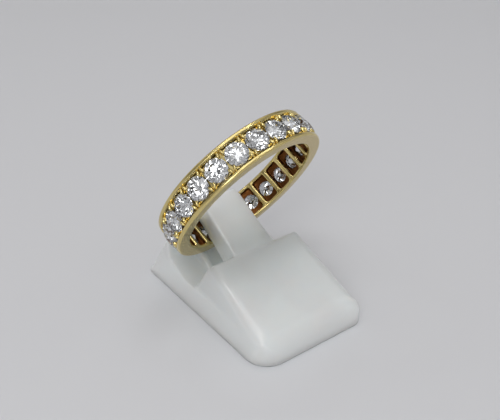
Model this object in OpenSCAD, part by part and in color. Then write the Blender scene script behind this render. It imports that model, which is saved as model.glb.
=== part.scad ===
/* [Finger and band] */
// Inside diameter of the band, the finger size
ring_inner_d = 17.9; // [16:0.1:20]
// Thickness of the band from the finger to the rails
band_wall = 1.65; // [1.4:0.05:2.2]
// Width of the band along the finger
band_w = 4.0; // [3.6:0.1:5]
// Width of each raised rail at its top
rail_w = 0.42; // [0.3:0.02:0.6]
// Depth of the channel between the rails
channel_depth = 0.45; // [0.3:0.01:0.6]
// How far each channel wall leans in from rail to floor
channel_lean = 0.28; // [0.1:0.02:0.4]
// Rounding of the rails' outer edges
rail_round = 0.22; // [0.1:0.02:0.3]
// Rounding of the edges next to the finger
finger_round = 0.18; // [0.08:0.02:0.25]

/* [Stones] */
// Girdle diameter of each round brilliant
stone_d = 2.75; // [2.5:0.05:2.8]
// Least width of metal between two stones
stone_bridge = 0.07; // [0.06:0.01:0.3]
// Height of the table above the rails' tops
table_above_rail = 0.2; // [0.1:0.01:0.22]
// Table width as a share of the stone
table_share = 0.57; // [0.5:0.01:0.65]
// Crown angle in degrees
crown_angle = 34.5; // [28:0.5:38]
// Pavilion angle in degrees
pavilion_angle = 40.8; // [38:0.2:43]
// Radius where the lower facets end as a share of the stone's
lower_share = 0.24; // [0.2:0.02:0.3]
// Thickness of the girdle
girdle_t = 0.07; // [0.04:0.01:0.12]
// Clearance between a stone and its hole
stone_clear = 0.04; // [0.02:0.01:0.06]
// Turn of the first stone round the band in degrees
stone_phase = -9.7; // [-16:0.1:16]

/* [Windows] */
// Width of the crossbars between the windows
bar_w = 0.4; // [0.3:0.05:0.7]
// Width of the plain strip beside the windows
window_margin = 0.4; // [0.35:0.05:0.7]
// Depth of the windows from the finger side
window_depth = 0.6; // [0.3:0.05:0.65]
// Diameter of the hole behind each stone
light_hole_d = 1.9; // [1.2:0.1:2]

/* [Grains] */
// Diameter of the metal grains that hold the stones
grain_d = 0.44; // [0.3:0.02:0.46]
// Distance between the two grains of a pair
grain_pair = 0.6; // [0.5:0.02:0.7]
// Clearance between a grain and the stones beside it
grain_clear = 0.02; // [0.01:0.01:0.06]
// Height of a grain's centre over the channel floor
grain_rise = 0.15; // [0.1:0.01:0.2]

/* [Ring on the stand] */
// Slope of the seat under the band in degrees
seat_slope = 30; // [26:1:34]
// Turn of the ring on its seat in degrees
ring_turn = -8.4; // [-12:0.1:12]
// Height of the seat above the table, measured under the band
seat_z = 5.8; // [5.6:0.05:6]
// Distance of that place in front of the stand's back end
seat_back = 4.29; // [4.1:0.01:4.5]
// Gap between the stones and the seat
seat_gap = 0.05; // [0.02:0.01:0.2]

/* [Stand] */
// Width of the stand at the table
stand_w = 15.4; // [15:0.1:18]
// Length of the stand
stand_l = 24.1; // [23.6:0.1:26]
// Thickness of the stand's back edge
edge_t = 0.8; // [0.6:0.1:1.5]
// Depth of the back edge in front of which the leg starts
edge_lip = 0.5; // [0.4:0.05:0.8]
// Radius in the corner between that edge and the leg
edge_round = 0.4; // [0.2:0.05:0.6]
// Radius of the front left corner seen from above
front_left_r = 3.0; // [1.5:0.1:4]
// Radius of the front right corner seen from above
front_right_r = 1.2; // [0.8:0.1:4]
// Radius of the two back corners seen from above
back_corner_r = 0.4; // [0.3:0.05:1.5]
// Height of the floor between the block and the back leg
floor_z = 3.0; // [2.6:0.1:3.4]
// How far each long side leans in up to that floor
side_lean = 0.45; // [0.2:0.05:0.6]
// Height of the back leg
leg_z = 6.5; // [6:0.05:7]
// Slope of the leg's outer face in degrees
leg_slope = 64; // [62:0.5:68]
// Slope of the leg's inner face in degrees
leg_inner_slope = 75; // [72:1:85]
// Depth of the leg at the floor
leg_t = 4.4; // [4.2:0.1:5]
// Length of the ramp in front of the leg
ramp_l = 3.6; // [3:0.1:4]
// Slope of that ramp in degrees
ramp_slope = 15; // [10:1:18]
// Radius between the ramp and the leg
ramp_round = 0.8; // [0.4:0.1:1.2]
// Width of the rib that carries the band
rib_w = 7.5; // [7:0.1:9]
// Depth of the pocket in the rib under the tongue
pocket_depth = 0.7; // [0.4:0.1:1.2]

/* [Front block] */
// Height of the block's back edge
block_z = 7.65; // [7.4:0.05:8]
// Distance of the block's back edge from the stand's back end
block_back = 12.55; // [12.3:0.05:12.8]
// Height that the block's top slopes down to at the stand's front end
block_front_z = 3.05; // [2.8:0.05:3.6]
// Width of the block at its back edge
block_w = 13.7; // [12.6:0.1:14]
// Angle at which each long side opens towards the front
block_splay = 2.6; // [1:0.1:3]
// Radius of the block's long top edges
block_side_r = 1.3; // [0.6:0.1:1.8]
// Radius of the block's front edge
block_front_r = 3.2; // [2:0.1:3.6]
// Radius of the block's back edge
block_back_r = 0.5; // [0.3:0.05:0.8]

/* [Tongue] */
// Width of the tongue at the block
tongue_w = 5.8; // [5:0.1:6.2]
// Width of the tongue at its tip
tongue_tip_w = 5.4; // [4.4:0.1:5.8]
// Thickness of the tongue at the block
tongue_t = 3.3; // [2.6:0.05:3.5]
// Thickness lost from the block to the tip
tongue_taper = 0.3; // [0:0.05:0.6]
// Thickness of the tongue below its side grooves
tongue_lower_t = 1.0; // [0.5:0.05:1.4]
// Depth of the side grooves
groove_depth = 0.12; // [0.05:0.01:0.25]
// Width of the side grooves
groove_w = 0.16; // [0.1:0.02:0.3]
// Gap between the tongue and the inside of the band
tongue_gap = 0.06; // [0.04:0.01:0.3]
// How far the tongue reaches past the band's near face
tongue_reach = 4.3; // [3:0.1:4.6]
// Radius of the tongue's corners seen from above
tongue_tip_r = 0.8; // [0.4:0.1:1.5]

/* [Hidden] */
EPS = 0.01;
ARC_STEPS = 6;
LONG_ARC_STEPS = 12;
SHORT_ARC_STEPS = 3;
BAND_FACETS = 180;
HOLE_FACETS = 48;
GRAIN_FACETS = 24;

ring_r = ring_inner_d / 2;
rail_r = ring_r + band_wall;
floor_r = rail_r - channel_depth;
half_w = band_w / 2;
channel_half = half_w - rail_w;

crown_h = (1 - table_share) * stone_d / 2 * tan(crown_angle);
pavilion_h = stone_d / 2 * tan(pavilion_angle);
girdle_r = rail_r + table_above_rail - crown_h;
stone_count = floor(2 * PI * girdle_r / (stone_d + stone_bridge));
stone_step = 360 / stone_count;

// Each grain stands clear of its stone: its place round the band sets how far from the middle it goes
grain_r = floor_r + grain_rise;
grain_turn = asin(grain_pair / 2 / grain_r);
grain_side = grain_r * sin(stone_step / 2 - grain_turn);
grain_reach = (stone_d + grain_d) / 2 + grain_clear;
grain_off = sqrt(max(0, grain_reach * grain_reach - grain_side * grain_side));

window_w = band_w - 2 * window_margin;
window_l = 2 * PI * ring_r / stone_count - bar_w;

front_y = -stand_l / 2;
back_y = stand_l / 2;
seat_y = back_y - seat_back;

// The stones come nearest to the two strips beside the pocket, which is as wide as the tongue
turn_shift = half_w * sin(abs(ring_turn));
strip_x = tongue_w / 2 * cos(ring_turn) - turn_shift;
table_r = table_share * stone_d / 2;
table_out = girdle_r + crown_h;
ring_over = sqrt(table_out * table_out + table_r * table_r - strip_x * strip_x) + seat_gap;
ring_z = seat_z + ring_over * cos(seat_slope);
ring_y = seat_y - ring_over * sin(seat_slope);

block_y = back_y - block_back;
top_slope = atan((block_z - block_front_z) / (block_y - front_y));
face_slope = 90 - seat_slope;

// Height over the seat of the tongue's underside, just clear of the band at the tongue's two edges
tongue_edge_x = tongue_w / 2 * cos(ring_turn) + turn_shift;
tongue_low = ring_over - sqrt(ring_r * ring_r - tongue_edge_x * tongue_edge_x) + tongue_gap;
tongue_top = tongue_low + tongue_t;
tongue_tip = tongue_reach - half_w;
// Place of the block's back face along the seat
block_along = (block_y - seat_y) * cos(seat_slope) + (block_z - seat_z) * sin(seat_slope);

function two_digits(i) = str(i < 10 ? "0" : "", i);
function stone_name(i) = str("stone_", two_digits(i));

// Points of an arc round a centre, from one angle to another
function arc(centre, r, from, to, steps = ARC_STEPS) =
    [for (i = [0:steps]) let (a = from + (to - from) * i / steps) centre + r * [cos(a), sin(a)]];

// Where two lines cross, each given by a point and an angle
function crossing(p, a, q, b) =
    let (d = q - p, s = (d[0] * sin(b) - d[1] * cos(b)) / sin(b - a)) p + s * [cos(a), sin(a)];

// Centre of a round of radius r between two lines whose inner sides lie at angle in_a and in_b
function round_centre(p, a, in_a, q, b, in_b, r) =
    crossing(p + r * [cos(in_a), sin(in_a)], a, q + r * [cos(in_b), sin(in_b)], b);

// Turns a ring that lies on its side into its place on the seat
module on_seat() {
    translate([0, ring_y, ring_z])
        rotate([seat_slope - 90, 0, 0])
            rotate([0, ring_turn, 0])
                children();
}

// Sets a piece at an angle round the band, its own +Z pointing out from the finger
module round_band(angle, radius) {
    rotate([0, 0, angle])
        translate([0, -radius, 0])
            rotate([90, 0, 0])
                children();
}

// Section of the band: two rails, leaning channel walls and a softened finger side
module band_section() {
    polygon(concat(
        arc([ring_r + finger_round, finger_round - half_w], finger_round, 180, 270, SHORT_ARC_STEPS),
        arc([rail_r - rail_round, rail_round - half_w], rail_round, 270, 360),
        [[rail_r, -channel_half], [floor_r, channel_lean - channel_half]],
        [[floor_r, channel_half - channel_lean], [rail_r, channel_half]],
        arc([rail_r - rail_round, half_w - rail_round], rail_round, 0, 90),
        arc([ring_r + finger_round, half_w - finger_round], finger_round, 90, 180, SHORT_ARC_STEPS)
    ));
}

// Hole for one stone, with a cone that follows the pavilion down to the light hole
module stone_hole() {
    hole_r = stone_d / 2 + stone_clear;
    light_r = light_hole_d / 2;
    seat_drop = girdle_t + stone_clear;
    cone_h = (hole_r - light_r) * tan(pavilion_angle);
    translate([0, 0, -seat_drop])
        cylinder(h = band_wall, r = hole_r, $fn = HOLE_FACETS);
    translate([0, 0, -seat_drop - cone_h])
        cylinder(h = cone_h + EPS, r1 = light_r, r2 = hole_r, $fn = HOLE_FACETS);
    translate([0, 0, -band_wall])
        cylinder(h = band_wall - seat_drop - cone_h + EPS, r = light_r, $fn = HOLE_FACETS);
}

// Rectangular window cut from the finger side behind one stone
module window_cut() {
    translate([-window_l / 2, -window_w / 2, ring_r - half_w])
        cube([window_l, window_w, half_w + window_depth]);
}

// One round grain standing on the channel floor
module grain() {
    translate([0, 0, grain_r])
        sphere(d = grain_d, $fn = GRAIN_FACETS);
}

// The cast band with its rails, channel, grains, stone holes and windows
module ring_band() {
    color("gold")
        on_seat() {
            difference() {
                rotate_extrude($fn = BAND_FACETS)
                    band_section();
                for (i = [0:stone_count - 1]) {
                    round_band(stone_phase + i * stone_step, girdle_r)
                        stone_hole();
                    round_band(stone_phase + i * stone_step, 0)
                        window_cut();
                }
            }
            for (i = [0:stone_count - 1], side = [-1, 1], pair = [-1, 1])
                round_band(stone_phase + (i + 0.5) * stone_step + pair * grain_turn, 0)
                    translate([0, side * grain_off, 0])
                        grain();
        }
}

// Corner points of a round brilliant, whose girdle top lies at height 0
module brilliant() {
    r = stone_d / 2;
    star_r = (table_r + r) / 2 / cos(22.5);
    star_z = (r - star_r * cos(22.5)) * tan(crown_angle);
    lower_r = lower_share * r / cos(22.5);
    culet_z = -girdle_t - pavilion_h;
    lower_z = culet_z + lower_r * cos(22.5) * tan(pavilion_angle);
    points = concat(
        [for (k = [0:7]) [table_r * cos(45 * k), table_r * sin(45 * k), crown_h]],
        [for (k = [0:7]) [star_r * cos(45 * k + 22.5), star_r * sin(45 * k + 22.5), star_z]],
        [for (k = [0:15]) [r * cos(22.5 * k), r * sin(22.5 * k), 0]],
        [for (k = [0:15]) [r * cos(22.5 * k), r * sin(22.5 * k), -girdle_t]],
        [for (k = [0:7]) [lower_r * cos(45 * k + 22.5), lower_r * sin(45 * k + 22.5), lower_z]],
        [[0, 0, culet_z]]
    );
    star = 8;
    top = 16;
    low = 32;
    half = 48;
    culet = 56;
    faces = concat(
        [[for (k = [7:-1:0]) k]],
        [for (k = [0:7]) [k, (k + 1) % 8, star + k]],
        [for (k = [0:7]) [k, star + k, top + 2 * k]],
        [for (k = [0:7]) [k, top + 2 * k, star + (k + 7) % 8]],
        [for (k = [0:7]) [top + 2 * k, star + k, top + 2 * k + 1]],
        [for (k = [0:7]) [top + 2 * k + 1, star + k, top + (2 * k + 2) % 16]],
        [for (k = [0:15]) [top + k, top + (k + 1) % 16, low + (k + 1) % 16]],
        [for (k = [0:15]) [top + k, low + (k + 1) % 16, low + k]],
        [for (k = [0:7]) [low + 2 * k, low + 2 * k + 1, half + k]],
        [for (k = [0:7]) [low + 2 * k + 1, low + (2 * k + 2) % 16, half + k]],
        [for (k = [0:7]) [low + 2 * k, half + k, culet]],
        [for (k = [0:7]) [low + 2 * k, culet, half + (k + 7) % 8]]
    );
    polyhedron(points = points, faces = faces, convexity = 2);
}

// One stone in its hole
module stone(i) {
    color("aliceblue")
        on_seat()
            round_band(stone_phase + (i - 1) * stone_step, girdle_r)
                brilliant();
}

// Outline that the stand covers on the table
module stand_plan() {
    half = stand_w / 2;
    polygon(concat(
        arc([half - back_corner_r, back_y - back_corner_r], back_corner_r, 0, 90),
        arc([back_corner_r - half, back_y - back_corner_r], back_corner_r, 90, 180),
        arc([front_left_r - half, front_y + front_left_r], front_left_r, 180, 270, LONG_ARC_STEPS),
        arc([half - front_right_r, front_y + front_right_r], front_right_r, 270, 360)
    ));
}

// Side view of the stand's front: upright at the table, then round up to the block's sloping top
module front_profile() {
    back_top = [block_y, block_z];
    front = round_centre(back_top, top_slope, top_slope - 90, [front_y, 0], 90, 0, block_front_r);
    polygon(concat(
        [[front_y, 0], [back_y, 0], [back_y, block_z], back_top],
        arc(front, block_front_r, 90 + top_slope, 180, LONG_ARC_STEPS)
    ));
}

// Side view of the low floor, the ramp and the back leg
module floor_profile() {
    edge = [back_y - edge_lip, edge_t];
    outer_a = 180 - leg_slope;
    outer_top = [edge[0] - (leg_z - edge_t) / tan(leg_slope), leg_z];
    foot = [back_y - leg_t, floor_z];
    inner_top = [foot[0] + (leg_z - floor_z) / tan(leg_inner_slope), leg_z];
    ramp = [foot[0] - ramp_l, floor_z];
    lip_c = round_centre(edge, 0, 90, edge, outer_a, outer_a - 90, edge_round);
    ramp_c = round_centre(ramp, ramp_slope, ramp_slope + 90, foot, leg_inner_slope, leg_inner_slope + 90, ramp_round);
    polygon(concat(
        [[front_y, 0], [back_y, 0], [back_y, edge_t]],
        arc(lip_c, edge_round, 270, outer_a + 90),
        [outer_top, inner_top],
        arc(ramp_c, ramp_round, leg_inner_slope - 90, ramp_slope - 90),
        [ramp, [front_y, floor_z]]
    ));
}

// Side view of the rib that carries the band
module rib_profile() {
    seat = [seat_y, seat_z];
    low = crossing(seat, seat_slope, [0, floor_z], 0);
    high = crossing(seat, seat_slope, [0, leg_z], 0);
    base_z = floor_z / 2;
    polygon([low, high, [high[0], base_z], [low[0], base_z]]);
}

// Side view of the block's back: a face square to the seat with a softened upper edge
module block_profile() {
    back_top = [block_y, block_z];
    face_a = 180 - face_slope;
    back = round_centre(back_top, top_slope, top_slope - 90, back_top, face_a, face_a + 90, block_back_r);
    foot = crossing(back_top, face_a, [0, floor_z / 2], 0);
    polygon(concat(
        [[front_y, 0], [foot[0], 0], foot],
        arc(back, block_back_r, 90 - face_slope, 90 + top_slope),
        [[front_y, block_front_z]]
    ));
}

// Extrudes a side view across the stand, from one side to the other
module across(width) {
    rotate([90, 0, 90])
        linear_extrude(height = width, center = true)
            children();
}

// Everything between the two long sides, which lean in towards the top
module leaning_sides() {
    low = stand_w / 2;
    high = low - side_lean * block_z / floor_z;
    rotate([90, 0, 0])
        linear_extrude(height = stand_l + 2, center = true)
            polygon([[-low, 0], [low, 0], [high, block_z], [-high, block_z]]);
}

// Everything inside one long side of the block and its rounded shoulder
module shoulder(side) {
    half = block_w / 2;
    shoulder_x = half - block_side_r;
    translate([0, block_y, block_z])
        rotate([top_slope, 0, 0])
            rotate([90, 0, side * block_splay])
                linear_extrude(height = 2 * stand_l, center = true)
                    scale([side, 1])
                        polygon(concat(
                            [[-stand_w, -stand_w], [half, -stand_w]],
                            arc([shoulder_x, -block_side_r], block_side_r, 0, 90),
                            [[shoulder_x, stand_w], [-stand_w, stand_w]]
                        ));
}

// Front block with its sloping top
module block() {
    intersection() {
        across(stand_w)
            block_profile();
        shoulder(1);
        shoulder(-1);
    }
}

// Moves a piece drawn along the seat's slope to the seat
module at_seat() {
    translate([0, seat_y, seat_z])
        rotate([seat_slope, 0, 0])
            children();
}

// Pocket in the rib, as wide as the tongue above it, and the seat's slope carried on over the leg's edge
module pocket() {
    at_seat() {
        translate([-tongue_w / 2, block_along, -pocket_depth])
            cube([tongue_w, tongue_tip - block_along, pocket_depth + tongue_low]);
        translate([-rib_w / 2, 0, 0])
            cube([rib_w, tongue_tip, tongue_low]);
    }
}

// A layer of the tongue between two heights over the seat, drawn in by inset at each side
module tongue_layer(inset, low, high) {
    half = tongue_w / 2 - inset;
    tip_half = tongue_tip_w / 2 - inset;
    root = block_along - tongue_w / 2;
    corner = tip_half - tongue_tip_r;
    translate([0, 0, low])
        linear_extrude(height = high - low)
            polygon(concat(
                [[-half, root], [half, root], [half, block_along]],
                arc([corner, tongue_tip - tongue_tip_r], tongue_tip_r, 0, 90),
                arc([-corner, tongue_tip - tongue_tip_r], tongue_tip_r, 90, 180),
                [[-half, block_along]]
            ));
}

// The tongue, with a groove along each side and a top that comes down towards the tip
module tongue() {
    groove_low = tongue_low + tongue_lower_t;
    groove_high = groove_low + groove_w;
    at_seat() {
        tongue_layer(0, tongue_low, groove_low);
        tongue_layer(groove_depth, groove_low - EPS, groove_high + EPS);
        intersection() {
            tongue_layer(0, groove_high, tongue_top);
            across(tongue_w)
                polygon([
                    [block_along - tongue_w, 0],
                    [tongue_tip, 0],
                    [tongue_tip, tongue_top - tongue_taper],
                    [block_along, tongue_top],
                    [block_along - tongue_w, tongue_top]
                ]);
        }
    }
}

// The one-piece frosted stand: floor and back leg, rib, front block and tongue
module display_stand() {
    color("gainsboro") {
        intersection() {
            linear_extrude(height = block_z)
                stand_plan();
            across(stand_w)
                front_profile();
            leaning_sides();
            difference() {
                union() {
                    across(stand_w)
                        floor_profile();
                    across(rib_w)
                        rib_profile();
                    block();
                }
                pocket();
            }
        }
        tongue();
    }
}

ring_band();
display_stand();
for (i = [1:stone_count])
    stone(i);
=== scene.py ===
"""Eternity ring on its frosted display stand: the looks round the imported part.

Lengths are in mm and angles in degrees, until a mesh, a light or a shader takes them.
"""
import math

import bmesh
import bpy
from mathutils import Matrix, Vector


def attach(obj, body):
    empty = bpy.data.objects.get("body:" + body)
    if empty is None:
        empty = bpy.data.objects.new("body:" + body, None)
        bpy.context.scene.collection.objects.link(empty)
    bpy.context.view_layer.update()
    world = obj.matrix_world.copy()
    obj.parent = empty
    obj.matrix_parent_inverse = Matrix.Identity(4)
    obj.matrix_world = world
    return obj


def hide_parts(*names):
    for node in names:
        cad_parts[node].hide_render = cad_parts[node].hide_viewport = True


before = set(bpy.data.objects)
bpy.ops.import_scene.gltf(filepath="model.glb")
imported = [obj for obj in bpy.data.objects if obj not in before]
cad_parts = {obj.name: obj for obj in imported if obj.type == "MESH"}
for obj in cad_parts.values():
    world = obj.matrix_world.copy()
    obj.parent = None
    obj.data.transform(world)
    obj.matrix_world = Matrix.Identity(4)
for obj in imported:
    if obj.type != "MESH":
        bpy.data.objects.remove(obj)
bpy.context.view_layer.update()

MM = 0.001


# ---- Camera ----

CAMERA_PLACE = Vector((-48.65, -63.22, 62.68))
# Turned from +Y towards +X, tipped below level, and rolled about the line of sight
CAMERA_TURN, CAMERA_DIP, CAMERA_ROLL = 37.34, 32.08, -0.75
CAMERA_LENS, SENSOR_W = 57.6, 36.0
NEAREST, FARTHEST = 1, 5000


def aim_camera():
    """Camera at the photograph's place, looking down at the ring."""
    turn, dip, roll = (math.radians(a) for a in (CAMERA_TURN, CAMERA_DIP, CAMERA_ROLL))
    ahead = Vector((math.sin(turn) * math.cos(dip), math.cos(turn) * math.cos(dip), -math.sin(dip)))
    level = Vector((math.cos(turn), -math.sin(turn), 0))
    under = ahead.cross(level)
    right = level * math.cos(roll) + under * math.sin(roll)
    down = under * math.cos(roll) - level * math.sin(roll)
    data = bpy.data.cameras.new("photo_camera")
    data.lens, data.sensor_width = CAMERA_LENS, SENSOR_W
    data.clip_start, data.clip_end = NEAREST * MM, FARTHEST * MM
    camera = bpy.data.objects.new("photo_camera", data)
    axes = Matrix((right, -down, -ahead)).transposed().to_4x4()
    camera.matrix_world = Matrix.Translation(CAMERA_PLACE * MM) @ axes
    bpy.context.scene.collection.objects.link(camera)
    bpy.context.scene.camera = camera


aim_camera()


# ---- Sizes shared with the CAD part ----

FINGER_R = 8.95
BAND_WALL = 1.65
RAIL_R = FINGER_R + BAND_WALL
HALF_W = 2.0
RAIL_W = 0.42
CHANNEL_DEPTH = 0.45
CHANNEL_LEAN = 0.28
FLOOR_R = RAIL_R - CHANNEL_DEPTH
STONES = 23
STONE_STEP = 360 / STONES
STONE_PHASE = -9.7
STONE_R = 1.375
TABLE_R = 0.57 * STONE_R
CROWN_ANGLE, PAVILION_ANGLE = 34.5, 40.8
TABLE_OVER_RAIL = 0.2
TABLE_OUT = RAIL_R + TABLE_OVER_RAIL
GIRDLE_R = TABLE_OUT - (STONE_R - TABLE_R) * math.tan(math.radians(CROWN_ANGLE))
SEAT_SLOPE, RING_TURN = 30, -8.4
RING_Y, RING_Z = 2.48, 14.95

# The band is made flat, its axis along Z, and then set on the stand's sloping seat
ON_SEAT = (Matrix.Translation((0, RING_Y, RING_Z))
           @ Matrix.Rotation(math.radians(SEAT_SLOPE - 90), 4, "X")
           @ Matrix.Rotation(math.radians(RING_TURN), 4, "Y"))


def round_band(angle, radius=0.0):
    """Place at an angle round the flat band, its own +Z pointing out from the finger."""
    return (Matrix.Rotation(math.radians(angle), 4, "Z") @ Matrix.Translation((0, -radius, 0))
            @ Matrix.Rotation(math.radians(90), 4, "X"))


# ---- Colours and nodes ----

def linear(hex_colour):
    """Linear RGBA of an sRGB hex colour."""
    parts = [int(hex_colour[i:i + 2], 16) / 255 for i in (1, 3, 5)]
    curve = [c / 12.92 if c <= 0.04045 else ((c + 0.055) / 1.055) ** 2.4 for c in parts]
    return (*curve, 1.0)


def add_node(tree, kind, links=(), greys=(), **settings):
    """One node with its settings and the links that feed it.

    A link is (input, node, output). A setting that starts with in_ is the value of an input,
    by its name or number: 6 and 7 are the two colours of a Mix. Greys are the marks of a
    colour ramp as (place, value), with places that rise from 0.
    """
    node = tree.nodes.new(kind)
    for name, value in settings.items():
        if name.startswith("in_"):
            key = name[3:]
            key = int(key) if key.isdigit() else key.replace("_", " ")
            node.inputs[key].default_value = value
        else:
            setattr(node, name, value)
    for key, source, output in links:
        tree.links.new(source.outputs[output], node.inputs[key])
    if greys:
        marks = node.color_ramp.elements
        marks[1].position = greys[-1][0]
        for place, _ in greys[1:-1]:
            marks.new(place)
        for mark, (_, value) in zip(marks, greys):
            mark.color = (value, value, value, 1)
    return node


def new_material(name):
    """Empty node material and its tree."""
    made = bpy.data.materials.new(name)
    made.use_nodes = True
    made.node_tree.nodes.clear()
    return made, made.node_tree


def pattern_scale(size):
    """Scale of a noise whose marks are about a size in mm."""
    return 1 / (size * MM)


# ---- Gold, diamond, plastic and floor ----

MOP_WAVE = 1.25
# The real scratches are finer: these are as coarse as the render needs to show them
SATIN_SCRATCH = 1 / 12
CASTING_SKIN = 1 / 6


def polished_gold():
    """18 carat yellow gold, buffed.

    It is mirror-like, with the faint haze and the long waves that a polishing mop leaves.
    """
    made, tree = new_material("polished_yellow_gold")
    place = add_node(tree, "ShaderNodeTexCoord")
    wave = add_node(tree, "ShaderNodeTexNoise", [("Vector", place, "Object")],
                    in_Scale=pattern_scale(MOP_WAVE), in_Detail=2.0)
    bump = add_node(tree, "ShaderNodeBump", [("Height", wave, 0)],
                    in_Strength=0.25, in_Distance=0.02 * MM)
    haze = add_node(tree, "ShaderNodeMapRange", [("Value", wave, 0)],
                    in_To_Min=0.14, in_To_Max=0.26)
    gold = add_node(tree, "ShaderNodeBsdfPrincipled",
                    [("Normal", bump, 0), ("Roughness", haze, 0)],
                    in_Base_Color=linear("#E1CD8C"), in_Metallic=1.0)
    add_node(tree, "ShaderNodeOutputMaterial", [("Surface", gold, 0)])
    return made


def satin_gold():
    """The same gold on the flat side faces, rubbed to a satin.

    Fine scratches spread the light into a khaki sheen.
    """
    made, tree = new_material("satin_yellow_gold")
    place = add_node(tree, "ShaderNodeTexCoord")
    scratch = add_node(tree, "ShaderNodeTexNoise", [("Vector", place, "Object")],
                       in_Scale=pattern_scale(SATIN_SCRATCH), in_Detail=3.0)
    bump = add_node(tree, "ShaderNodeBump", [("Height", scratch, 0)],
                    in_Strength=0.12, in_Distance=0.01 * MM)
    haze = add_node(tree, "ShaderNodeMapRange", [("Value", scratch, 0)],
                    in_To_Min=0.2, in_To_Max=0.34)
    gold = add_node(tree, "ShaderNodeBsdfPrincipled",
                    [("Normal", bump, 0), ("Roughness", haze, 0)],
                    in_Base_Color=linear("#CDBA84"), in_Metallic=1.0)
    add_node(tree, "ShaderNodeOutputMaterial", [("Surface", gold, 0)])
    return made


def shaded_cast_gold():
    """Gold left as cast inside the windows and holes, where the polishing mop doesn't reach.

    It is rough and reddish, with a fine uneven skin, and its colour is painted far darker than
    gold's own: painted shade of the deep windows and holes.
    """
    made, tree = new_material("as_cast_gold_painted_shade")
    place = add_node(tree, "ShaderNodeTexCoord")
    skin = add_node(tree, "ShaderNodeTexNoise", [("Vector", place, "Object")],
                    in_Scale=pattern_scale(CASTING_SKIN), in_Detail=4.0)
    # Deep reddish browns far darker than gold's own colour, mixed by the skin's noise: painted
    # shade of the recesses
    tone = add_node(tree, "ShaderNodeMix", [("Factor", skin, 0)], data_type="RGBA",
                    in_6=linear("#35170C"), in_7=linear("#8A5A2E"))
    bump = add_node(tree, "ShaderNodeBump", [("Height", skin, 0)],
                    in_Strength=0.5, in_Distance=0.03 * MM)
    gold = add_node(tree, "ShaderNodeBsdfPrincipled",
                    [("Base Color", tone, 2), ("Normal", bump, 0)],
                    in_Metallic=1.0, in_Roughness=0.33)
    add_node(tree, "ShaderNodeOutputMaterial", [("Surface", gold, 0)])
    return made


def diamond():
    """Brilliant-cut diamond, with polished facets.

    They mirror the room, and a high refraction breaks it up into white, grey and black.
    """
    made, tree = new_material("brilliant_cut_diamond")
    gem = add_node(tree, "ShaderNodeBsdfPrincipled",
                   in_Base_Color=linear("#ECEEF1"), in_Roughness=0.0,
                   in_IOR=2.417, in_Transmission_Weight=1.0)
    add_node(tree, "ShaderNodeOutputMaterial", [("Surface", gem, 0)])
    return made


MOULD_GRAIN = 1 / 9
MELT_FLOW = 4.0
# The flow's noise stays mostly between these, and the stand's clearness wanders with it
FLOW_LOW, FLOW_HIGH, CLOUDS = 0.3, 0.7, 0.05
# Share of the light that goes straight through, by height as a share of the ramp's top:
# the base, the block, the tongue's root, its middle and its tip. Besides the plastic's own
# clearness, the steps paint shade and light: the root is clearer and so darker, and the tip
# is milky and so brighter, as painted light from the gold beside it
CLEAR_TOP = 12.0
CLEAR_AND_PAINTED_LIGHT_MARKS = ((0.0, 0.08), (0.5, 0.27), (0.67, 0.52), (0.8, 0.2), (0.93, 0.0))
# The same share along the edges, kept low so that they turn milky as a painted glow, how wide
# they are, and how far the normals agree there
EDGE_GLOW_CLEAR, EDGE_WIDTH, EDGE_MATCH = 0.02, 0.35, 0.9
# How far light spreads inside the milky body
MILK_DEPTH = 3.0


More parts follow.
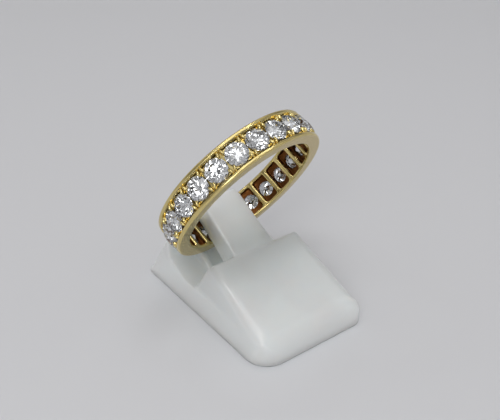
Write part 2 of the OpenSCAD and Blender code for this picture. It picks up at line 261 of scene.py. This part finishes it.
def frosted_plastic():
    """Moulded translucent polystyrene with a frosted skin.

    It is milky with a soft gloss. Its clearness steps with height, and the steps are painted
    shade and light: a little clearer, so darker, at the tongue's root, and milky, so brighter,
    at its tip. It is also whiter along its edges, as a painted glow.
    """
    made, tree = new_material("frosted_polystyrene_painted_light")
    place = add_node(tree, "ShaderNodeTexCoord")
    grain = add_node(tree, "ShaderNodeTexNoise", [("Vector", place, "Object")],
                     in_Scale=pattern_scale(MOULD_GRAIN), in_Detail=3.0)
    flow = add_node(tree, "ShaderNodeTexNoise", [("Vector", place, "Object")],
                    in_Scale=pattern_scale(MELT_FLOW), in_Detail=2.0)
    tone = add_node(tree, "ShaderNodeMix", [("Factor", flow, 0)], data_type="RGBA",
                    in_6=linear("#ECF8F9"), in_7=linear("#F8FFFF"))
    bump = add_node(tree, "ShaderNodeBump", [("Height", grain, 0)],
                    in_Strength=0.2, in_Distance=0.01 * MM)
    haze = add_node(tree, "ShaderNodeMapRange", [("Value", grain, 0)],
                    in_To_Min=0.26, in_To_Max=0.36)

    # Clearness by height, with painted shade at the tongue's root and painted light at its tip,
    # clouded by the flow of the melt
    split = add_node(tree, "ShaderNodeSeparateXYZ", [("Vector", place, "Object")])
    height = add_node(tree, "ShaderNodeMapRange", [("Value", split, 2)],
                      in_From_Max=CLEAR_TOP * MM)
    clear = add_node(tree, "ShaderNodeValToRGB", [("Fac", height, 0)], greys=CLEAR_AND_PAINTED_LIGHT_MARKS)
    cloud = add_node(tree, "ShaderNodeMapRange", [("Value", flow, 0)],
                     in_From_Min=FLOW_LOW, in_From_Max=FLOW_HIGH,
                     in_To_Min=-CLOUDS, in_To_Max=CLOUDS)
    cloudy = add_node(tree, "ShaderNodeMath", [(0, clear, 0), (1, cloud, 0)],
                      operation="ADD", use_clamp=True)

    # An edge is where a rounded normal leaves the face's own: there the plastic turns milky,
    # a painted glow along the edges
    rounded = add_node(tree, "ShaderNodeBevel", samples=6, in_Radius=EDGE_WIDTH * MM)
    face = add_node(tree, "ShaderNodeNewGeometry")
    match = add_node(tree, "ShaderNodeVectorMath", [(0, rounded, 0), (1, face, "True Normal")],
                     operation="DOT_PRODUCT")
    edge = add_node(tree, "ShaderNodeMapRange", [("Value", match, "Value")],
                    in_From_Min=1.0, in_From_Max=EDGE_MATCH)
    through = add_node(tree, "ShaderNodeMix", [("Factor", edge, 0), ("A", cloudy, 0)],
                       in_B=EDGE_GLOW_CLEAR)

    body = add_node(tree, "ShaderNodeBsdfPrincipled",
                    [("Base Color", tone, 2), ("Normal", bump, 0), ("Roughness", haze, 0),
                     ("Transmission Weight", through, 0)],
                    in_IOR=1.59, in_Subsurface_Weight=1.0, in_Subsurface_Scale=MILK_DEPTH * MM,
                    in_Subsurface_Radius=(1.0, 1.05, 1.1),
                    in_Coat_Weight=0.5, in_Coat_Roughness=0.1)
    add_node(tree, "ShaderNodeOutputMaterial", [("Surface", body, 0)])
    return made


def pale_floor():
    """Plain pale table top, matt."""
    made, tree = new_material("plain_pale_floor")
    top = add_node(tree, "ShaderNodeBsdfPrincipled",
                   in_Base_Color=linear("#D8D8DB"), in_Roughness=0.9)
    add_node(tree, "ShaderNodeOutputMaterial", [("Surface", top, 0)])
    return made


# ---- Mesh helpers ----

# Points nearer than this are one point
DOUBLES = 1e-5


def link_mesh(name, shape, materials):
    """Turns a bmesh in mm into an object in metres, at the origin."""
    shape.transform(Matrix.Scale(MM, 4))
    mesh = bpy.data.meshes.new(name)
    shape.to_mesh(mesh)
    shape.free()
    made = bpy.data.objects.new(name, mesh)
    bpy.context.scene.collection.objects.link(made)
    for material in materials:
        mesh.materials.append(material)
    return made


def finished_mesh(obj):
    """Bakes an object's modifiers into its mesh."""
    bpy.context.view_layer.update()
    modified = obj.evaluated_get(bpy.context.evaluated_depsgraph_get())
    done = bpy.data.meshes.new_from_object(modified)
    old = obj.data
    obj.modifiers.clear()
    obj.data = done
    bpy.data.meshes.remove(old)


def cut_away(obj, cutter):
    """Takes the cutter's space out of obj, and the cutter out of the scene."""
    step = obj.modifiers.new("cut", "BOOLEAN")
    step.operation, step.solver, step.object = "DIFFERENCE", "EXACT", cutter
    finished_mesh(obj)
    bpy.data.objects.remove(cutter)


def join_shapes(shape, other):
    """Adds the other bmesh to the first."""
    mesh = bpy.data.meshes.new("joined")
    other.to_mesh(mesh)
    other.free()
    shape.from_mesh(mesh)
    bpy.data.meshes.remove(mesh)


def arc(centre, radius, start, end, steps):
    """Points along an arc, both ends included."""
    turns = [math.radians(start + (end - start) * i / steps) for i in range(steps + 1)]
    return [(centre[0] + radius * math.cos(t), centre[1] + radius * math.sin(t)) for t in turns]


def spin_section(shape, section, closed, steps):
    """Spins a section of (radius, height) points once round the shape's Z axis."""
    verts = [shape.verts.new((radius, 0, height)) for radius, height in section]
    ends = verts[1:] + verts[:1] if closed else verts[1:]
    edges = [shape.edges.new(pair) for pair in zip(verts, ends)]
    bmesh.ops.spin(shape, geom=verts + edges, cent=(0, 0, 0), axis=(0, 0, 1),
                   angle=2 * math.pi, steps=steps, use_merge=True)
    bmesh.ops.remove_doubles(shape, verts=shape.verts, dist=DOUBLES)
    bmesh.ops.recalc_face_normals(shape, faces=shape.faces)


def repeat_at_stones(shape, radius=0.0, half_steps=0):
    """Copies the shape to each stone's place, or half a step on, between the stones."""
    first = shape.verts[:] + shape.edges[:] + shape.faces[:]
    for i in reversed(range(STONES)):
        made = bmesh.ops.duplicate(shape, geom=first)["geom"] if i else first
        angle = STONE_PHASE + (i + half_steps / 2) * STONE_STEP
        bmesh.ops.transform(shape, matrix=round_band(angle, radius),
                            verts=[v for v in made if isinstance(v, bmesh.types.BMVert)])


# ---- Gold band ----

# Roundings of the rails' outside, of the finger side and of the channel's lips
RAIL_ROUND, FINGER_ROUND, LIP_ROUND = 0.22, 0.18, 0.05
BAND_STEPS = STONES * 24


def band_section():
    """Section of the band as (distance from the axis, height along it).

    It runs from one end of the finger side over a rail to the channel's floor, and is
    mirrored from there.
    """
    channel_half = HALF_W - RAIL_W
    wall = math.degrees(math.atan2(CHANNEL_LEAN, CHANNEL_DEPTH))
    finger = arc((FINGER_R + FINGER_ROUND, FINGER_ROUND - HALF_W), FINGER_ROUND, 180, 270, steps=5)
    rail = arc((RAIL_R - RAIL_ROUND, RAIL_ROUND - HALF_W), RAIL_ROUND, 270, 360, steps=7)
    lip = arc((RAIL_R - LIP_ROUND, -channel_half - LIP_ROUND), LIP_ROUND, 0, 90 - wall, steps=3)
    half = finger + rail + lip + [(FLOOR_R, CHANNEL_LEAN - channel_half)]
    return half + [(r, -z) for r, z in reversed(half)]


# Play round a stone, the light hole behind it, the seat's drop below the girdle, and the
# bore's rise above it
STONE_PLAY, LIGHT_R, SEAT_DROP, BORE_RISE = 0.04, 0.95, 0.11, 1.2
HOLE_R = STONE_R + STONE_PLAY
HOLE_STEPS = 64


def stone_holes():
    """Cutter for the stone holes, each a bore, a seat cone and the light hole behind it."""
    shape = bmesh.new()
    cone = (HOLE_R - LIGHT_R) * math.tan(math.radians(PAVILION_ANGLE))
    section = [(0, BORE_RISE), (HOLE_R, BORE_RISE), (HOLE_R, -SEAT_DROP),
               (LIGHT_R, -SEAT_DROP - cone), (LIGHT_R, -BAND_WALL), (0, -BAND_WALL)]
    spin_section(shape, section, closed=False, steps=HOLE_STEPS)
    repeat_at_stones(shape, GIRDLE_R)
    return shape


# Length round the band, width and depth of a window, and the cutter's reach into the hole
WINDOW_L, WINDOW_W, WINDOW_DEPTH, WINDOW_REACH = 1.8, 3.2, 0.6, 0.3
# Roundings of a window's corners, rim and foot, and how much it narrows to its floor
WINDOW_CORNER, WINDOW_RIM, WINDOW_FOOT, WINDOW_TAPER = 0.32, 0.22, 0.12, 0.03
WINDOW_SIDE_STEPS, WINDOW_CORNER_STEPS = 6, 5


def window_outline(radius, inset):
    """Rounded outline of a window, drawn in by inset and bent to a radius round the finger."""
    corner = WINDOW_CORNER - inset
    x, y = WINDOW_L / 2 - WINDOW_CORNER, WINDOW_W / 2 - WINDOW_CORNER
    along = [x - 2 * x * i / WINDOW_SIDE_STEPS for i in range(1, WINDOW_SIDE_STEPS)]
    half = (arc((x, y), corner, 0, 90, WINDOW_CORNER_STEPS) + [(a, y + corner) for a in along]
            + arc((-x, y), corner, 90, 180, WINDOW_CORNER_STEPS))
    flat = half + [(-a, -b) for a, b in half]
    return [(radius * math.sin(a / FINGER_R), b, radius * math.cos(a / FINGER_R)) for a, b in flat]


def windows():
    """Cutter for the windows behind the stones.

    Their rounded corners and rims leave rounded bars between them.
    """
    floor_r = FINGER_R + WINDOW_DEPTH
    # Each outline's distance from the axis and inset, from the finger hole to the floor
    levels = ([(FINGER_R - WINDOW_REACH, -WINDOW_RIM)]
              + arc((FINGER_R + WINDOW_RIM, -WINDOW_RIM), WINDOW_RIM, 180, 90, steps=4)
              + arc((floor_r - WINDOW_FOOT, WINDOW_TAPER + WINDOW_FOOT), WINDOW_FOOT,
                    270, 360, steps=3))
    shape = bmesh.new()
    outlines = [[shape.verts.new(p) for p in window_outline(*level)] for level in levels]
    rings = [[shape.edges.new(pair) for pair in zip(o, o[1:] + o[:1])] for o in outlines]
    for low, high in zip(rings, rings[1:]):
        bmesh.ops.bridge_loops(shape, edges=low + high)
    for outline, radius in ((outlines[0], levels[0][0]), (outlines[-1], floor_r)):
        cap = bmesh.ops.poke(shape, faces=[shape.faces.new(outline)])
        cap["verts"][0].co = (0, 0, radius)
    bmesh.ops.recalc_face_normals(shape, faces=shape.faces)
    repeat_at_stones(shape)
    return shape


# Half axes of a grain, its rise over the channel's floor, the gap between the two of a pair,
# and their distance from the band's middle and turn
GRAIN_SIZE = Vector((0.2, 0.42, 0.32))
GRAIN_RISE, GRAIN_PAIR, GRAIN_OFF, GRAIN_TURN = 0.22, 0.56, 1.12, 16


def grains():
    """Two long grains at each side between neighbouring stones, pressed over their edges."""
    shape = bmesh.new()
    radius = FLOOR_R + GRAIN_RISE
    for side in (-1, 1):
        for pair in (-1, 1):
            lean = math.asin(pair * GRAIN_PAIR / 2 / radius)
            turn = math.radians(GRAIN_TURN * side * pair)
            place = (Matrix.Rotation(lean, 4, "Y")
                     @ Matrix.Translation((0, side * GRAIN_OFF, radius))
                     @ Matrix.Rotation(turn, 4, "Z") @ Matrix.Diagonal(GRAIN_SIZE).to_4x4())
            bmesh.ops.create_icosphere(shape, subdivisions=3, radius=1.0, matrix=place)
    repeat_at_stones(shape, half_steps=1)
    return shape


# Places of the three golds in the band's material slots
POLISHED, SATIN, SHADED_CAST = range(3)
# A side face looks along the axis by this much, and lies this near the band's edge
SIDE_LOOK, SIDE_DEPTH = 0.97, 0.05
# Margins round a window and below the channel's floor, where the gold is as cast and painted
# with shade
WINDOW_MARGIN, FLOOR_MARGIN = 0.01, 0.02
SLIVER = 1e-4
CRISP_ANGLE = 35


def gold_finish(face):
    """Which of the three golds a face of the flat band shows."""
    middle = face.calc_center_median()
    out = math.hypot(middle.x, middle.y)
    if abs(face.normal.z) > SIDE_LOOK and abs(middle.z) > HALF_W - SIDE_DEPTH:
        return SATIN
    in_window = abs(middle.z) < WINDOW_W / 2 + WINDOW_MARGIN
    # Window walls and floors, and the holes below the channel, get the cast gold with its painted
    # shade
    if in_window and FINGER_R + WINDOW_RIM < out < FLOOR_R - FLOOR_MARGIN:
        return SHADED_CAST
    return POLISHED


def make_band(golds):
    """The band: spun, cut for the stones and windows, given its grains, and set on the seat."""
    shape = bmesh.new()
    spin_section(shape, band_section(), closed=True, steps=BAND_STEPS)
    band = link_mesh("gold_band", shape, golds)
    cut_away(band, link_mesh("holes", stone_holes(), golds))
    cut_away(band, link_mesh("windows", windows(), golds))
    shape = bmesh.new()
    shape.from_mesh(band.data)
    shape.transform(Matrix.Scale(1 / MM, 4))
    for face in shape.faces:
        face.material_index = gold_finish(face)
    # The cuts leave a few faces with no width, some of them as pairs back to back
    bmesh.ops.dissolve_degenerate(shape, dist=SLIVER, edges=shape.edges)
    slivers = [f for f in shape.faces if len({g for e in f.edges for g in e.link_faces}) <= 2]
    bmesh.ops.delete(shape, geom=slivers, context="FACES")
    join_shapes(shape, grains())
    shape.transform(ON_SEAT)
    shape.transform(Matrix.Scale(MM, 4))
    shape.to_mesh(band.data)
    shape.free()
    band.data.shade_smooth()
    band.data.set_sharp_from_angle(angle=math.radians(CRISP_ANGLE))
    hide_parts("ring_band")
    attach(band, "root")


# ---- Frosted stand ----

CAD_DOUBLES = 0.001
# Size of the even mesh, and the share and number of the steps that soften its edges
STAND_MESH, SOFTENING, SOFTENING_STEPS = 0.15, 0.5, 8


def make_stand(frosted):
    """The stand as moulded: the CAD shape, with its crisp edges rounded and nothing else."""
    shape = bmesh.new()
    shape.from_mesh(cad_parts["display_stand"].data)
    bmesh.ops.remove_doubles(shape, verts=shape.verts, dist=CAD_DOUBLES * MM)
    shape.transform(Matrix.Scale(1 / MM, 4))
    stand = link_mesh("frosted_stand", shape, [frosted])
    even = stand.modifiers.new("even", "REMESH")
    even.mode, even.voxel_size, even.use_smooth_shade = "VOXEL", STAND_MESH * MM, True
    soft = stand.modifiers.new("soft", "SMOOTH")
    soft.factor, soft.iterations = SOFTENING, SOFTENING_STEPS
    finished_mesh(stand)
    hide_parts("display_stand")
    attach(stand, "root")


# ---- Stones ----

def dress_stones(gem):
    """The CAD stones keep their facets and get the diamond."""
    for name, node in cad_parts.items():
        if name.startswith("stone_"):
            node.data.materials.clear()
            node.data.materials.append(gem)


# ---- Floor and light ----

FLOOR_REACH, FLOOR_DROP = 600, 0.02


def lay_floor():
    """Plain pale floor, a hair below the stand."""
    shape = bmesh.new()
    bmesh.ops.create_grid(shape, x_segments=1, y_segments=1, size=FLOOR_REACH,
                          matrix=Matrix.Translation((0, 0, -FLOOR_DROP)))
    link_mesh("floor", shape, [pale_floor()])


def area_light(name, place, aim, side, power):
    """Soft square light at a place, facing a point."""
    data = bpy.data.lights.new(name, "AREA")
    data.shape, data.size, data.energy = "SQUARE", side * MM, power
    lamp = bpy.data.objects.new(name, data)
    lamp.location = Vector(place) * MM
    lamp.rotation_euler = (Vector(aim) - Vector(place)).to_track_quat("-Z", "Y").to_euler()
    bpy.context.scene.collection.objects.link(lamp)


# The room's greys, from level to straight up
ROOM_TONES = ((0.0, 0.5), (0.45, 0.38), (0.75, 0.4), (0.9, 0.7), (1.0, 0.8))
# Patches about 20 degrees across on its walls, and how dark and bright they are
ROOM_PATCHES, PATCH_DARK, PATCH_BRIGHT = 5.0, 0.12, 2.0
# They set in between these heights, so that a low view has a plain background
PATCH_START, PATCH_FULL = 0.15, 0.35
# Each light's name, place, point faced, side and power in watts
SOFT_LIGHTS = (("ceiling", (-60, -20, 420), (0, 0, 5), 260, 0.2),
               ("window", (-210, -170, 210), (0, 0, 8), 120, 0.24))
# A round of small lamps, at these distances from the middle in turn
LAMPS, LAMP_START, LAMP_HEIGHT, LAMP_AWAY = 7, 20, 260, (90, 170, 240)
LAMP_AIM, LAMP_SIDE, LAMP_POWER = (0, 0, 12), 14, 0.012


def light_room():
    """Pale room with patchy walls, a soft light overhead and a window at the front left.

    The stones break its patches up into light and dark facets, and catch the small lamps.
    """
    world = bpy.data.worlds.new("pale_room")
    bpy.context.scene.world = world
    world.use_nodes = True
    tree = world.node_tree
    tree.nodes.clear()
    look = add_node(tree, "ShaderNodeTexCoord")
    split = add_node(tree, "ShaderNodeSeparateXYZ", [("Vector", look, "Generated")])
    tone = add_node(tree, "ShaderNodeValToRGB", [("Fac", split, 2)], greys=ROOM_TONES)
    patch = add_node(tree, "ShaderNodeTexVoronoi", [("Vector", look, "Generated")],
                     in_Scale=ROOM_PATCHES)
    grey = add_node(tree, "ShaderNodeSeparateColor", [("Color", patch, "Color")])
    depth = add_node(tree, "ShaderNodeMapRange", [("Value", grey, 0)],
                     in_To_Min=PATCH_DARK, in_To_Max=PATCH_BRIGHT)
    rise = add_node(tree, "ShaderNodeMapRange", [("Value", split, 2)],
                    in_From_Min=PATCH_START, in_From_Max=PATCH_FULL)
    strength = add_node(tree, "ShaderNodeMix", [("Factor", rise, 0), ("B", depth, 0)], in_A=1.0)
    air = add_node(tree, "ShaderNodeBackground", [("Color", tone, 0), ("Strength", strength, 0)])
    add_node(tree, "ShaderNodeOutputWorld", [("Surface", air, 0)])
    for light in SOFT_LIGHTS:
        area_light(*light)
    for i in range(LAMPS):
        turn = math.radians(360 / LAMPS * i + LAMP_START)
        away = LAMP_AWAY[i % len(LAMP_AWAY)]
        place = (away * math.cos(turn), away * math.sin(turn), LAMP_HEIGHT)
        area_light(f"lamp_{i}", place, LAMP_AIM, LAMP_SIDE, LAMP_POWER)


make_band([polished_gold(), satin_gold(), shaded_cast_gold()])
make_stand(frosted_plastic())
dress_stones(diamond())
lay_floor()
light_room()
bpy.context.scene.view_settings.view_transform = "Standard"
